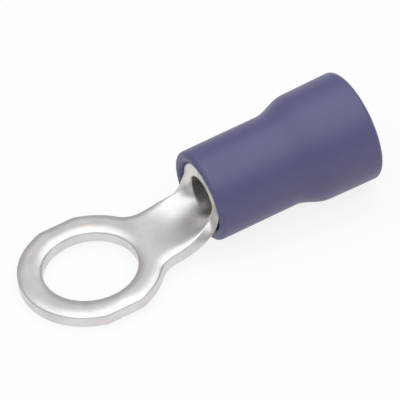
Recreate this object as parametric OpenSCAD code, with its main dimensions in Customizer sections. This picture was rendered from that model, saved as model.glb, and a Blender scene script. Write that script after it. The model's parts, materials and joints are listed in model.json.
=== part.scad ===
// Insulated ring terminal.
//
// A ring for a stud, a neck and a wire barrel are stamped from one sheet and rolled up, and a
// funnel-shaped plastic sleeve is pushed over the barrel.
// Origin: centre of the stud hole, on the ring's underside. +X runs along the barrel, +Z is up.

/* [Sheet] */
// Thickness of the sheet that the terminal is stamped from
sheet_t = 0.8; // [0.6:0.05:1]
// Width of the rounded band along the upper edges, drawn down by the blanking die
edge_w = 0.6; // [0.2:0.05:0.6]
// How far the upper edges are drawn down
edge_drop = 0.2; // [0.05:0.05:0.25]

/* [Ring] */
// Diameter of the stud hole
stud_hole_d = 5.3; // [4.3:0.1:5.6]
// Outside diameter of the ring
ring_d = 8.1; // [7.8:0.1:9.5]
// How much is trimmed off each side of the ring, where it was cut from its neighbours in the strip
side_trim = 0.11; // [0.05:0.01:0.2]

/* [Neck] */
// Width of the neck between the ring and the barrel
neck_w = 4.1; // [3.4:0.1:4.6]
// Radius of the fillets between the ring and the neck
neck_fillet_r = 1.6; // [0.8:0.1:2]
// Distance from the stud hole's centre to the line where the neck starts to curl up
roll_start = 3.2; // [3.1:0.1:4.2]
// How the curl tightens along the neck: 1 is even, more keeps the neck flat for longer
roll_power = 2.5; // [1.5:0.1:3]
// Radius of the fillets between the neck and the mouth of the barrel, in the flat sheet
shoulder_r = 0.75; // [0.6:0.05:1.4]

/* [Barrel] */
// Distance from the stud hole's centre to the barrel's mouth
barrel_start = 7.2; // [7:0.1:9]
// Length of the barrel
barrel_len = 4.9; // [4:0.1:6]
// Diameter of the bore that takes the stripped wire
barrel_bore_d = 2.3; // [2:0.05:2.6]
// Gap that is left where the rolled edges butt along the top
seam_gap = 0.06; // [0.04:0.02:0.2]
// Chamfer that leads the wire into the bore
lead_in = 0.2; // [0.1:0.05:0.3]

/* [Sleeve] */
// Length of the sleeve
sleeve_len = 10; // [9:0.1:12]
// How far the sleeve reaches past the mouth of the barrel
sleeve_overhang = 0.2; // [0.2:0.05:0.4]
// Wall of the sleeve round the barrel
sleeve_wall = 0.7; // [0.7:0.02:0.9]
// Radial clearance of the sleeve on the barrel
sleeve_clear = 0.01; // [0.01:0.01:0.05]
// Diameter of the wire entry, inside the wide end
entry_bore_d = 5; // [4.6:0.1:5.6]
// Wall of the wide end
entry_wall = 0.67; // [0.6:0.01:0.8]
// How much the wide end's outside radius grows towards its rim
entry_flare = 0.05; // [0:0.01:0.1]
// Length of the step from the narrow tube to the wide end
step_len = 2; // [1.6:0.1:2.6]
// Radius of the rounded rims
rim_r = 0.28; // [0.1:0.02:0.3]
// Radius of the front rim's inner edge, wider so that it clears the shoulders of the neck
mouth_r = 0.4; // [0.3:0.02:0.4]

/* [Hidden] */
$fn = 96;

stud_hole_r = stud_hole_d / 2;
ring_r = ring_d / 2;
neck_half = neck_w / 2;

// The neck's fillets touch the ring's circle and the neck's straight sides.
neck_fillet_y = neck_half + neck_fillet_r;
neck_fillet_x = sqrt(pow(ring_r + neck_fillet_r, 2) - pow(neck_fillet_y, 2));
neck_fillet_a = atan2(neck_fillet_y, neck_fillet_x);
shoulder_x = barrel_start - shoulder_r;
shoulder_y = neck_half + shoulder_r;

barrel_bore_r = barrel_bore_d / 2;
barrel_r = barrel_bore_r + sheet_t;
barrel_end = barrel_start + barrel_len;
// Radius of the sheet's middle surface in the barrel, which keeps the length of the flat blank
bend_r = barrel_bore_r + sheet_t / 2;
// The barrel's underside is level with the ring's underside.
axis_z = barrel_r;

// The neck runs on inside the barrel's wall by these, so that they are one solid.
barrel_lap = 0.3;
lap_inset = 0.02;

sleeve_start = barrel_start - sleeve_overhang;
sleeve_end = sleeve_start + sleeve_len;
sleeve_bore_r = barrel_r + sleeve_clear;
sleeve_r = sleeve_bore_r + sleeve_wall;
entry_bore_r = entry_bore_d / 2;
entry_r = entry_bore_r + entry_wall;
// Outside, the step starts a little before the barrel's end. Inside, it starts a little after it.
step_lead = 0.2;
outer_step = barrel_end - step_lead;
inner_step = barrel_end + step_lead / 2;

// Half the angle of the short straight edge at the ring's tip, and the angle round the shoulder's
// fillet at which the mouth of the barrel takes over
tip_a = 4;
mouth_a = 80;

// Steps along the ring, each fillet and the neck, steps across the sheet and steps round an edge
ring_steps = 36;
fillet_steps = 6;
neck_steps = 8;
shoulder_steps = 8;
across_steps = 24;
edge_steps = 3;
top_level = edge_steps + 1;
rim_steps = 8;
step_steps = 16;
eps = 1;

tin = [0.74, 0.72, 0.7];
violet_blue = [0.42, 0.42, 0.6];

function arc(centre, r, from, to, steps) =
    [for (i = [0:steps])
        let (a = from + (to - from) * i / steps)
        centre + r * [cos(a), sin(a)]];

// Places its children with their Z axis along the barrel's axis.
module along_barrel()
    translate([0, 0, axis_z])
        rotate([0, 90, 0])
            children();

// ---- Terminal: ring, neck and barrel in one sheet ----

// Curvature of the sheet across the neck at x: none at the ring, the barrel's at its mouth
function curl(x) =
    pow(max(0, min(1, (x - roll_start) / (barrel_start - roll_start))), roll_power) / bend_r;

// Where a point of the flat sheet lies once it is rolled: x along it, s across it, h above its
// underside
function rolled(x, s, h) =
    let (k = curl(x), from_middle = h - sheet_t / 2)
    k < 0.0001 ? [x, s, h] :
    let (a = s * k * 180 / PI)
    [x, (1 / k - from_middle) * sin(a), sheet_t / 2 + 1 / k - (1 / k - from_middle) * cos(a)];

// The rounded upper edge as points, each with how far it is set in and its height
upper_edge =
    [for (i = [0:edge_steps])
        let (a = 90 * i / edge_steps)
        [edge_w * (1 - cos(a)), sheet_t - edge_drop * (1 - sin(a))]];

// Levels up the sheet's edge: the underside, then the rounded upper edge
edge_levels = concat([[0, 0]], upper_edge);

// Outline of the flat blank, set in by inset: rows of distance along it and half its width there,
// from the ring's tip round its trimmed sides, along the fillet, the neck and the shoulder
function blank_rows(inset) = concat(
    [for (i = [0:ring_steps])
        let (a = tip_a + (180 - neck_fillet_a - tip_a) * i / ring_steps)
        [-(ring_r - inset) * cos(a), min((ring_r - inset) * sin(a), ring_r - side_trim - inset)]],
    [for (i = [1:fillet_steps])
        let (a = neck_fillet_a + (90 - neck_fillet_a) * i / fillet_steps)
        [neck_fillet_x, neck_fillet_y] - (neck_fillet_r + inset) * [cos(a), sin(a)]],
    [for (i = [1:neck_steps])
        [neck_fillet_x + (shoulder_x - neck_fillet_x) * i / neck_steps, neck_half - inset]],
    [for (i = [1:shoulder_steps])
        let (a = mouth_a * i / shoulder_steps, fading_inset = inset * (1 - i / shoulder_steps))
        [shoulder_x + shoulder_r * sin(a), shoulder_y - (shoulder_r + fading_inset) * cos(a)]]);

// The blank as it is rolled: a row of points round its section at each row of the outline, and two
// thinner ones inside the barrel's wall, where the two unite
function section(rows, i, thin) = concat(
    [for (j = [0:across_steps]) on_row(rows, i, 2 * j / across_steps - 1, 0, thin)],
    [for (l = [1:top_level]) on_row(rows, i, 1, l, thin)],
    [for (j = [across_steps - 1:-1:1]) on_row(rows, i, 2 * j / across_steps - 1, top_level, thin)],
    [for (l = [top_level:-1:1]) on_row(rows, i, -1, l, thin)]);

function on_row(rows, i, across, level, thin) =
    let (p = rows[level][i], h = edge_levels[level][1])
    rolled(p[0], across * p[1], thin + h * (1 - 2 * thin / sheet_t));

module ring_and_neck() {
    rows = [for (level = edge_levels) blank_rows(level[0])];
    row_count = len(rows[0]);
    wall_rows = [for (level = edge_levels)
        [[barrel_start + lap_inset / 2, shoulder_y], [barrel_start + barrel_lap, shoulder_y]]];
    sections = concat(
        [for (i = [0:row_count - 1]) section(rows, i, 0)],
        [for (i = [0, 1]) section(wall_rows, i, lap_inset)]);
    n = len(sections[0]);
    right = across_steps;
    base = (len(sections) - 1) * n;
    polyhedron(
        points = [for (s = sections) each s],
        faces = concat(
            // The short straight edge at the ring's tip
            [for (j = [0:right - 1]) [right + 1, j, j + 1]],
            [[right + 1, n - 1, 0]],
            [for (l = [1:top_level - 2]) [right + l, right + l + 1, n - l - 1, n - l]],
            [[right + top_level - 1, n - top_level, n - top_level + 1]],
            [for (j = [right + top_level:n - top_level - 1]) [right + top_level - 1, j, j + 1]],
            // The skin all round
            [for (i = [0:len(sections) - 2], j = [0:n - 1])
                let (a = i * n + j, b = i * n + (j + 1) % n)
                each [[a, a + n, b], [b, a + n, b + n]]],
            // The end inside the barrel's wall
            [for (j = [1:right - 2])
                let (above = n - top_level - j)
                [for (k = [j, above, above - 1, j + 1]) base + k]],
            [for (k = [right:right + top_level]) [for (v = [right - 1, k + 1, k]) base + v]],
            [for (k = [n - top_level - 1:n - 1]) [for (v = [1, (k + 1) % n, k]) base + v]]));
}

// The stud hole and its rounded upper rim
module stud_hole()
    rotate_extrude()
        polygon(concat(
            [[0, -eps], [stud_hole_r, -eps]],
            [for (p = upper_edge) [stud_hole_r + p[0], p[1]]],
            [[stud_hole_r + edge_w, sheet_t + eps], [0, sheet_t + eps]]));

// The rolled tube, open at both ends, with the seam along its top
module barrel()
    difference() {
        along_barrel()
            translate([0, 0, barrel_start])
                cylinder(r = barrel_r, h = barrel_len);
        along_barrel()
            translate([0, 0, barrel_start - eps])
                cylinder(r = barrel_bore_r, h = barrel_len + 2 * eps);
        along_barrel()
            translate([0, 0, barrel_end - lead_in])
                cylinder(r1 = barrel_bore_r, r2 = barrel_bore_r + lead_in + eps, h = lead_in + eps);
        translate([barrel_start - eps, -seam_gap / 2, axis_z])
            cube([barrel_len + 2 * eps, seam_gap, barrel_r + eps]);
    }

module terminal()
    color(tin)
        difference() {
            union() {
                ring_and_neck();
                barrel();
            }
            stud_hole();
        }

// ---- Insulating sleeve ----

// A smooth step in radius along the sleeve
function s_step(from, r1, r2) =
    [for (i = [0:step_steps])
        let (u = i / step_steps)
        [r1 + (r2 - r1) * (1 - cos(180 * u)) / 2, from + step_len * u]];

module insulating_sleeve()
    color(violet_blue)
        along_barrel()
            rotate_extrude()
                polygon(concat(
                    arc([sleeve_bore_r + mouth_r, sleeve_start + mouth_r], mouth_r, 180, 270, rim_steps),
                    arc([sleeve_r - rim_r, sleeve_start + rim_r], rim_r, 270, 360, rim_steps),
                    s_step(outer_step, sleeve_r, entry_r),
                    arc([entry_r + entry_flare - rim_r, sleeve_end - rim_r], rim_r, 0, 90, rim_steps),
                    arc([entry_bore_r + rim_r, sleeve_end - rim_r], rim_r, 90, 180, rim_steps),
                    [for (i = [step_steps:-1:0]) s_step(inner_step, sleeve_bore_r, entry_bore_r)[i]]));

terminal();
insulating_sleeve();
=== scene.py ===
"""Looks of the insulated ring terminal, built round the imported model. Metres, in the model's own frame."""

import json
import math
from math import cos, sin

import bmesh
import bpy
from mathutils import Matrix, Vector


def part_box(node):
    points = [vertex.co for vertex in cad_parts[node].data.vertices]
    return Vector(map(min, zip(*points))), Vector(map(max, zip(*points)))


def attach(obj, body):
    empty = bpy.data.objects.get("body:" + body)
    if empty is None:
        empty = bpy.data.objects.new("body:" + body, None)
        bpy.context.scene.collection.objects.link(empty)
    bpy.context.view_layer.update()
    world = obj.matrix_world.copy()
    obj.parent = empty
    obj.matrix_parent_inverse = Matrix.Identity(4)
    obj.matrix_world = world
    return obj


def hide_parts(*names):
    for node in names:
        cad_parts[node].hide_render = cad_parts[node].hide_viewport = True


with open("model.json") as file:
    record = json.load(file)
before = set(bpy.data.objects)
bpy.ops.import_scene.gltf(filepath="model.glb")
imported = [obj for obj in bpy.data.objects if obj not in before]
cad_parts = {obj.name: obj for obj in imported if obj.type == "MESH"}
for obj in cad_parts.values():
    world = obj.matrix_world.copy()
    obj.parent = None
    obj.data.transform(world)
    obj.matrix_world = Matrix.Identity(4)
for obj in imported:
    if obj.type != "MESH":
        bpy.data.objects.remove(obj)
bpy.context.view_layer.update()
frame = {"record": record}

MM = 0.001
mounts = {m["name"]: m for m in frame["record"]["mounts"]}
stamp_lo, stamp_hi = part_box("terminal")
sleeve_lo, sleeve_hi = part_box("insulating_sleeve")

# ---- Sizes, in millimetres, from the frame where it gives them ----

hole_r = mounts["stud_hole"]["dims"]["r_mm"]
bore_r = mounts["wire_barrel"]["dims"]["r_mm"]
entry_bore_r = mounts["wire_entry"]["dims"]["r_mm"]
ring_r = -stamp_lo.x / MM
ring_half = stamp_hi.y / MM
barrel_end = stamp_hi.x / MM
axis_z = stamp_hi.z / MM / 2
barrel_r = axis_z
sheet_t = barrel_r - bore_r
bend_r = bore_r + sheet_t / 2
sleeve_start = sleeve_lo.x / MM
sleeve_end = sleeve_hi.x / MM
sleeve_rim_r = sleeve_hi.y / MM

# Sizes that the frame doesn't give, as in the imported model
edge_w = 0.6
edge_drop = 0.2
neck_half = 2.05
neck_fillet_r = 1.6
roll_start = 3.2
roll_power = 2.5
shoulder_r = 0.75
barrel_start = 7.2
seam_gap = 0.06
lead_in = 0.2
sleeve_r = 2.66
entry_r = 3.17
step_start = 11.9
mouth_r = 0.4
step_len = 2.0
inner_step_start = 12.2
rim_r = 0.28
sleeve_clear = 0.01

neck_fillet_y = neck_half + neck_fillet_r
neck_fillet_x = math.sqrt((ring_r + neck_fillet_r) ** 2 - neck_fillet_y**2)
neck_fillet_a = math.atan2(neck_fillet_y, neck_fillet_x)
shoulder_x = barrel_start - shoulder_r
shoulder_y = neck_half + shoulder_r


# ---- The stamping ----


def rolled(x, s, h):
    """Where a point of the flat sheet lies once rolled.

    x runs along the sheet, s across it, and h up from its underside.
    """
    u = max(0.0, min(1.0, (x - roll_start) / (barrel_start - roll_start)))
    k = u**roll_power / bend_r
    if k < 1e-5:
        return (x, s, h)
    from_middle = h - sheet_t / 2
    a = s * k
    r = 1 / k - from_middle
    return (x, r * sin(a), sheet_t / 2 + 1 / k - r * cos(a))


EDGE_STEPS = 12
# Radius of the sheet's lower edge, and of the edge round the barrel's mouth
BURR_R = 0.05
MOUTH_EDGE = 0.09
# Share of the sheet's height at which its upright wall has a level of its own
WALL_LEVEL = 0.4
# Width and drop of the outline's upper edge on the far side, and what the near side has besides
FAR_WIDTH, NEAR_WIDTH_GAIN = 0.45, 0.2
FAR_DROP, NEAR_DROP_GAIN = 0.12, 0.08


def levels_of_edge(width, drop):
    """Levels up the sheet's edge, each with how far it is set in and its height."""
    levels = [
        (BURR_R, 0.0),
        (BURR_R * 0.3, BURR_R * 0.3),
        (0.0, BURR_R),
        (0.0, sheet_t * WALL_LEVEL),
    ]
    for step in range(EDGE_STEPS + 1):
        turn = math.pi / 2 * step / EDGE_STEPS
        levels.append((width * (1 - cos(turn)), sheet_t - drop * (1 - sin(turn))))
    return levels


def outline_edge(nearness):
    """The levels of the outline's edge, which the die drew down more on the near side."""
    return levels_of_edge(
        FAR_WIDTH + NEAR_WIDTH_GAIN * nearness, FAR_DROP + NEAR_DROP_GAIN * nearness
    )


hole_edge = levels_of_edge(edge_w, edge_drop)
mouth_edge = levels_of_edge(MOUTH_EDGE, MOUTH_EDGE)
neck_edges = {side: outline_edge((1 - side * sin(neck_fillet_a)) / 2) for side in (-1, 1)}
TOP = len(hole_edge) - 1

# Half the length of the ring's trimmed sides, and the angle over which the ears at their ends fade
TRIM_HALF = 1.05
EAR_FADE = 0.12

# Steps of the mesh, round the ring and along the neck and barrel
RAYS_ROUND = 150
RAYS_NECK = 36
RADIAL_STEPS = 8
FILLET_STEPS = 14
NECK_STEPS = 18
SHOULDER_STEPS = 14
MOUTH_EXTRA = 12
BARREL_STEPS = 6
# Flat left between the hole's rounded edge and the line where the neck's rows start
JUNCTION_GAP = 0.06


def outer_radius(angle, inset):
    """Distance from the stud hole's centre to the blank's outline, set in by inset."""
    from_side = abs(math.atan2(cos(angle), abs(sin(angle))))
    corner = math.atan2(TRIM_HALF, ring_half)
    if from_side < corner:
        return (ring_half - inset) / abs(sin(angle))
    ear = math.hypot(TRIM_HALF, ring_half) - ring_r
    return ring_r - inset + ear * math.exp(-(((from_side - corner) / EAR_FADE) ** 2))


def neck_rows(side, level):
    """Rows past the ring of (distance along, half width, height) for one level of a side's edge."""
    inset, height = neck_edges[side][level]
    rows = []
    for i in range(1, FILLET_STEPS + 1):
        a = neck_fillet_a + (math.pi / 2 - neck_fillet_a) * i / FILLET_STEPS
        r = neck_fillet_r + inset
        rows.append((neck_fillet_x - r * cos(a), neck_fillet_y - r * sin(a), height))
    for i in range(1, NECK_STEPS + 1):
        x = neck_fillet_x + (shoulder_x - neck_fillet_x) * i / NECK_STEPS
        rows.append((x, neck_half - inset, height))
    for i in range(1, SHOULDER_STEPS + 1):
        u = i / SHOULDER_STEPS
        blend = u * u * (3 - 2 * u)
        r = shoulder_r + inset + (mouth_edge[level][0] - inset) * blend
        a = math.pi / 2 * u
        h = height + (mouth_edge[level][1] - height) * blend
        rows.append((shoulder_x + r * sin(a), shoulder_y - r * cos(a), h))
    return rows


class Grid:
    """A mesh under construction, whose vertices are found again by name."""

    def __init__(self):
        self.mesh = bmesh.new()
        self.named = {}

    def vert(self, name, point):
        if name not in self.named:
            self.named[name] = self.mesh.verts.new([c * MM for c in point])
        return self.named[name]

    def place(self, *name):
        return self.named[name].co / MM

    def face(self, names):
        corners = [self.named[n] for n in names]
        if len(set(corners)) > 2:
            self.mesh.faces.new(corners)

    def quad(self, *names):
        self.face(names)


def add_ring(g):
    """Rays round the stud hole, of which the first RAYS_NECK + 1 run into the neck."""
    angles = []
    for j in range(RAYS_NECK + 1):
        across = 2 * j / RAYS_NECK - 1
        angles.append(math.asin(across * sin(neck_fillet_a)))
    for j in range(1, RAYS_ROUND):
        angles.append(neck_fillet_a + (2 * math.pi - 2 * neck_fillet_a) * j / RAYS_ROUND)
    count = len(angles)
    for k, a in enumerate(angles):
        for l, (inset, h) in enumerate(hole_edge):
            r = hole_r + inset
            g.vert(("hole", k, l), (r * cos(a), r * sin(a), h))
        if not 0 < k < RAYS_NECK:
            for l, (inset, h) in enumerate(outline_edge((1 - sin(a)) / 2)):
                r = outer_radius(a, inset)
                g.vert(("rim", k, l), (r * cos(a), r * sin(a), h))
    for l in (0, TOP):
        near, far = g.place("rim", 0, l), g.place("rim", RAYS_NECK, l)
        for k in range(1, RAYS_NECK):
            f = k / RAYS_NECK
            r = math.hypot(near.x, near.y) * (1 - f) + math.hypot(far.x, far.y) * f
            r += (hole_r + edge_w + JUNCTION_GAP - r) * (1 - (2 * f - 1) ** 4)
            g.vert(("rim", k, l), (r * cos(angles[k]), r * sin(angles[k]), near.z))
        for k in range(count):
            inner, outer = g.place("hole", k, l), g.place("rim", k, l)
            for m in range(1, RADIAL_STEPS):
                f = m / RADIAL_STEPS
                g.vert(("flat", k, l, m), inner.lerp(outer, f * f * (3 - 2 * f)))

    def radial(k, l):
        return [("hole", k, l)] + [("flat", k, l, m) for m in range(1, RADIAL_STEPS)] + [("rim", k, l)]

    for k in range(count):
        n = (k + 1) % count
        for l in range(TOP):
            g.quad(("hole", k, l), ("hole", n, l), ("hole", n, l + 1), ("hole", k, l + 1))
            if not k < RAYS_NECK:
                g.quad(("rim", k, l), ("rim", k, l + 1), ("rim", n, l + 1), ("rim", n, l))
        for l in (0, TOP):
            a, b = radial(k, l), radial(n, l)
            for m in range(RADIAL_STEPS):
                g.quad(a[m], a[m + 1], b[m + 1], b[m])


def add_neck(g):
    """Rows across the neck and its shoulders, where each level of the edge has its own outline."""
    outlines = {side: [neck_rows(side, level) for level in range(TOP + 1)] for side in (-1, 1)}
    row_count = len(outlines[1][0])
    for j in range(RAYS_NECK + 1):
        for l in range(TOP + 1):
            if ("rim", j, l) in g.named:
                g.named["row", -1, j, l] = g.named["rim", j, l]
    for i in range(row_count):
        for l in range(TOP + 1):
            near_x, near_half, near_h = outlines[-1][l][i]
            far_x, far_half, far_h = outlines[1][l][i]
            for j in range(RAYS_NECK + 1):
                if l in (0, TOP) or j in (0, RAYS_NECK):
                    f = j / RAYS_NECK
                    x, h = near_x + (far_x - near_x) * f, near_h + (far_h - near_h) * f
                    # The rows start as arcs about the stud hole and straighten along the neck
                    near_end, far_end = g.place("row", -1, 0, l), g.place("row", -1, RAYS_NECK, l)
                    bulge = g.place("row", -1, j, l).x - near_end.x * (1 - f) - far_end.x * f
                    x += bulge * max(0.0, 1 - (i + 1) / (FILLET_STEPS + NECK_STEPS))
                    g.vert(("row", i, j, l), rolled(x, far_half * f - near_half * (1 - f), h))
    for i in range(-1, row_count - 1):
        for l in (0, TOP):
            for j in range(RAYS_NECK):
                at = [(i, j), (i + 1, j), (i + 1, j + 1), (i, j + 1)]
                g.face([("row", *corner, l) for corner in at])
        for l in range(TOP):
            for j in (0, RAYS_NECK):
                at = [(i, l), (i, l + 1), (i + 1, l + 1), (i + 1, l)]
                g.face([("row", along, j, level) for along, level in at])
    return row_count - 1


def add_barrel(g, last):
    """The sheet goes on round to the seam from the neck's last row, its mouth edged like the shoulders."""
    seam_s = math.pi * bend_r - seam_gap / 2
    across = [shoulder_y * (2 * j / RAYS_NECK - 1) for j in range(RAYS_NECK + 1)]
    extra = [
        shoulder_y + (seam_s - shoulder_y) * e / MOUTH_EXTRA for e in range(1, MOUTH_EXTRA + 1)
    ]
    whole = [-s for s in reversed(extra)] + across + extra
    width = len(whole)
    for c, s in enumerate(whole):
        j = c - MOUTH_EXTRA
        for l, (inset, h) in enumerate(mouth_edge):
            if ("row", last, j, l) in g.named:
                g.named["mouth", c, l] = g.named["row", last, j, l]
            elif not 0 <= j <= RAYS_NECK:
                g.vert(("mouth", c, l), rolled(barrel_start + inset, s, h))
    for c in range(width - 1):
        if c < MOUTH_EXTRA or c >= MOUTH_EXTRA + RAYS_NECK:
            for l in range(TOP):
                at = [(c, l), (c, l + 1), (c + 1, l + 1), (c + 1, l)]
                g.face([("mouth", *corner) for corner in at])
    after_mouth = barrel_start + MOUTH_EDGE
    plain = barrel_end - lead_in - after_mouth
    stations = [after_mouth + plain * b / BARREL_STEPS for b in range(1, BARREL_STEPS + 1)]
    stations.append(barrel_end)
    end = len(stations)
    for c, s in enumerate(whole):
        g.named["tube", 0, c, "out"] = g.named["mouth", c, 0]
        g.named["tube", 0, c, "in"] = g.named["mouth", c, TOP]
        for b, x in enumerate(stations, 1):
            g.vert(("tube", b, c, "out"), rolled(x, s, 0.0))
            g.vert(("tube", b, c, "in"), rolled(x, s, sheet_t - (lead_in if b == end else 0.0)))
    for b in range(end):
        for c in range(width - 1):
            for side in ("out", "in"):
                at = [("tube", b, c), ("tube", b + 1, c), ("tube", b + 1, c + 1), ("tube", b, c + 1)]
                g.face([corner + (side,) for corner in at])
        for c in (0, width - 1):
            front = [("tube", b, c, "out"), ("tube", b, c, "in")]
            if b == 0:
                front = [("mouth", c, l) for l in range(TOP + 1)]
            g.face(front + [("tube", b + 1, c, "in"), ("tube", b + 1, c, "out")])
    for c in range(width - 1):
        at = [(c, "out"), (c, "in"), (c + 1, "in"), (c + 1, "out")]
        g.face([("tube", end, *corner) for corner in at])


def stamping_mesh():
    g = Grid()
    add_ring(g)
    add_barrel(g, add_neck(g))
    return g.mesh


def as_object(name, mesh):
    bmesh.ops.remove_doubles(mesh, verts=mesh.verts, dist=MM * 1e-4)
    bmesh.ops.recalc_face_normals(mesh, faces=mesh.faces)
    for f in mesh.faces:
        f.smooth = True
    data = bpy.data.meshes.new(name)
    mesh.to_mesh(data)
    mesh.free()
    piece = bpy.data.objects.new(name, data)
    bpy.context.scene.collection.objects.link(piece)
    return piece


def soften_edges(piece, width, angle):
    """Rounds the sharp edges by a real bevel, and keeps flat faces flat in the shading."""
    bevel = piece.modifiers.new("edges", "BEVEL")
    bevel.width = width * MM
    bevel.segments = 3
    bevel.limit_method = "ANGLE"
    bevel.angle_limit = math.radians(angle)
    normals = piece.modifiers.new("normals", "WEIGHTED_NORMAL")
    normals.keep_sharp = True


# ---- The sleeve ----

SLEEVE_ROUND = 192
STEP_STEPS = 24
RIM_STEPS = 10
LONG_STEPS = 14


def arc(cx, cy, r, start, end, steps):
    out = []
    for i in range(steps + 1):
        a = math.radians(start + (end - start) * i / steps)
        out.append((cx + r * cos(a), cy + r * sin(a)))
    return out


def s_step(start, r1, r2):
    out = []
    for i in range(STEP_STEPS + 1):
        u = i / STEP_STEPS
        out.append((r1 + (r2 - r1) * (1 - cos(math.pi * u)) / 2, start + step_len * u))
    return out


def spread(points, longest=0.7):
    """Adds points along the long straight stretches of an outline."""
    out = []
    for p, q in zip(points, points[1:] + points[:1]):
        out.append(p)
        n = int(math.dist(p, q) / longest)
        for i in range(1, n + 1):
            f = i / (n + 1)
            out.append((p[0] + (q[0] - p[0]) * f, p[1] + (q[1] - p[1]) * f))
    return out


def sleeve_profile():
    """The sleeve's section as (radius, distance along the axis), once round."""
    bore = barrel_r + sleeve_clear
    return spread(
        arc(bore + mouth_r, sleeve_start + mouth_r, mouth_r, 180, 270, RIM_STEPS)
        + arc(sleeve_r - rim_r, sleeve_start + rim_r, rim_r, 270, 360, RIM_STEPS)
        + s_step(step_start, sleeve_r, entry_r)
        + arc(sleeve_rim_r - rim_r, sleeve_end - rim_r, rim_r, 0, 90, RIM_STEPS)
        + arc(entry_bore_r + rim_r, sleeve_end - rim_r, rim_r, 90, 180, RIM_STEPS)
        + list(reversed(s_step(inner_step_start, bore, entry_bore_r)))
    )


def sleeve_mesh():
    g = Grid()
    profile = sleeve_profile()
    n = len(profile)
    for k in range(SLEEVE_ROUND):
        a = 2 * math.pi * k / SLEEVE_ROUND
        for i, (r, x) in enumerate(profile):
            g.vert((k, i), (x, r * cos(a), axis_z + r * sin(a)))
    for k in range(SLEEVE_ROUND):
        m = (k + 1) % SLEEVE_ROUND
        for i in range(n):
            j = (i + 1) % n
            g.quad((k, i), (k, j), (m, j), (m, i))
    return g.mesh


# ---- Materials ----


def material(name):
    made = bpy.data.materials.new(name)
    made.use_nodes = True
    return made, made.node_tree.nodes["Principled BSDF"]


def clouded_colour(made, scale, detail, stops):
    """Drives the base colour by a soft noise, between two stops of (position, colour)."""
    nodes, links = made.node_tree.nodes, made.node_tree.links
    coords = nodes.new("ShaderNodeTexCoord")
    cloud = nodes.new("ShaderNodeTexNoise")
    cloud.inputs["Scale"].default_value = scale
    cloud.inputs["Detail"].default_value = detail
    links.new(coords.outputs["Object"], cloud.inputs["Vector"])
    tone = nodes.new("ShaderNodeValToRGB")
    for element, (position, colour) in zip(tone.color_ramp.elements, stops):
        element.position = position
        element.color = (*colour, 1)
    links.new(cloud.outputs["Fac"], tone.inputs["Fac"])
    links.new(tone.outputs["Color"], nodes["Principled BSDF"].inputs["Base Color"])


def tinned_copper():
    made, shader = material("tinned_copper")
    shader.inputs["Metallic"].default_value = 1.0
    shader.inputs["Roughness"].default_value = 0.4
    clouded_colour(made, 900, 6, [(0.3, (0.66, 0.635, 0.62)), (0.7, (0.78, 0.76, 0.745))])
    return made


def sleeve_plastic():
    made, shader = material("sleeve_plastic")
    shader.inputs["Roughness"].default_value = 0.42
    shader.inputs["Subsurface Weight"].default_value = 0.3
    shader.inputs["Subsurface Radius"].default_value = (0.6, 0.6, 1.0)
    shader.inputs["Subsurface Scale"].default_value = 0.0008
    clouded_colour(made, 300, 2, [(0.0, (0.085, 0.085, 0.195)), (1.0, (0.1, 0.1, 0.215))])
    return made


# ---- Stage ----

FLOOR_HALF = 2.0
FLOOR_GLOW = 0.85
# Azimuth, elevation and roll in degrees, then millimetres
CAMERA_TURN = (-24.088, 42.899, -8.229)
CAMERA_AIM = (6.985, -0.262, 1.917)
CAMERA_SHIFT = 0.027
CAMERA_DISTANCE = 286.62
CAMERA_LENS = 470.53


def floor_material():
    """White to the camera and in the metal, while its plain share keeps the part's shadow."""
    made, shader = material("floor_white")
    nodes, links = made.node_tree.nodes, made.node_tree.links
    shader.inputs["Base Color"].default_value = (0.86, 0.86, 0.86, 1)
    shader.inputs["Roughness"].default_value = 0.9
    glow = nodes.new("ShaderNodeEmission")
    glow.inputs["Color"].default_value = (1, 1, 1, 1)
    path = nodes.new("ShaderNodeLightPath")
    seen = nodes.new("ShaderNodeMath")
    seen.operation = "MAXIMUM"
    links.new(path.outputs["Is Camera Ray"], seen.inputs[0])
    links.new(path.outputs["Is Glossy Ray"], seen.inputs[1])
    share = nodes.new("ShaderNodeMath")
    share.operation = "MULTIPLY"
    share.inputs[1].default_value = FLOOR_GLOW
    links.new(seen.outputs[0], share.inputs[0])
    mix = nodes.new("ShaderNodeMixShader")
    links.new(share.outputs[0], mix.inputs["Fac"])
    links.new(shader.outputs["BSDF"], mix.inputs[1])
    links.new(glow.outputs["Emission"], mix.inputs[2])
    links.new(mix.outputs["Shader"], nodes["Material Output"].inputs["Surface"])
    return made


def add_floor():
    """The table, laid through the ring's tip and the lowest point of the sleeve's far end."""
    low = axis_z - sleeve_rim_r
    tilt = math.atan2(-low, sleeve_end + ring_r)
    mesh = bmesh.new()
    bmesh.ops.create_grid(mesh, x_segments=1, y_segments=1, size=FLOOR_HALF)
    data = bpy.data.meshes.new("floor")
    mesh.to_mesh(data)
    mesh.free()
    floor = bpy.data.objects.new("floor", data)
    bpy.context.scene.collection.objects.link(floor)
    floor.matrix_world = Matrix.Translation((-ring_r * MM, 0, 0)) @ Matrix.Rotation(tilt, 4, "Y")
    data.materials.append(floor_material())


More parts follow.
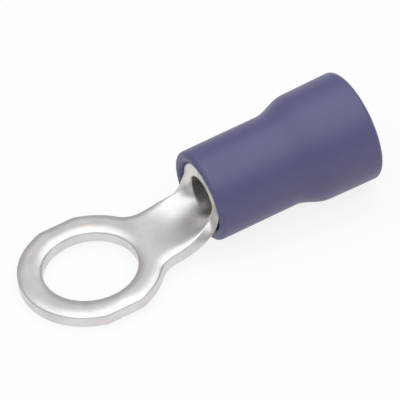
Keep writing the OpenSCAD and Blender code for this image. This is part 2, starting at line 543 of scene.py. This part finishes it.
def add_camera():
    azimuth, elevation, roll = (math.radians(v) for v in CAMERA_TURN)
    aim = Vector(CAMERA_AIM) * MM
    level = Vector((sin(azimuth), -cos(azimuth), 0))
    back = level * cos(elevation) + Vector((0, 0, sin(elevation)))
    right = (-back).cross(Vector((0, 0, 1))).normalized()
    up = right.cross(-back)
    rolled_right = right * cos(roll) + up * sin(roll)
    rolled_up = up * cos(roll) - right * sin(roll)
    turn = Matrix((rolled_right, rolled_up, back)).transposed().to_4x4()
    data = bpy.data.cameras.new("camera")
    data.sensor_width = 36
    data.lens = CAMERA_LENS
    data.clip_start = 0.01
    data.clip_end = 10
    camera = bpy.data.objects.new("camera", data)
    centre = aim + (rolled_up - rolled_right) * CAMERA_SHIFT * MM
    camera.matrix_world = Matrix.Translation(centre + back * CAMERA_DISTANCE * MM) @ turn
    bpy.context.scene.collection.objects.link(camera)
    bpy.context.scene.camera = camera


def add_light(name, place, size, radiance):
    """A softbox of an even radiance that faces straight down."""
    data = bpy.data.lights.new(name, "AREA")
    data.shape = "RECTANGLE"
    data.size, data.size_y = size
    data.energy = radiance * math.pi * size[0] * size[1]
    lamp = bpy.data.objects.new(name, data)
    lamp.matrix_world = Matrix.Translation(place)
    bpy.context.scene.collection.objects.link(lamp)


def add_world():
    world = bpy.data.worlds.new("studio")
    world.use_nodes = True
    bpy.context.scene.world = world
    sky = world.node_tree.nodes["Background"]
    sky.inputs["Color"].default_value = (0.42, 0.42, 0.42, 1)
    sky.inputs["Strength"].default_value = 1.0


def dress(piece, node, finish):
    piece.data.materials.append(finish)
    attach(piece, "root")
    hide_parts(node)


add_camera()
add_world()
add_floor()
add_light("overhead", place=(0.05, -0.05, 0.35), size=(0.7, 0.6), radiance=1.3)

stamping = as_object("stamping", stamping_mesh())
soften_edges(stamping, 0.05, 50)
dress(stamping, "terminal", tinned_copper())
sleeve = as_object("sleeve", sleeve_mesh())
dress(sleeve, "insulating_sleeve", sleeve_plastic())

bpy.context.scene.view_settings.view_transform = "Standard"
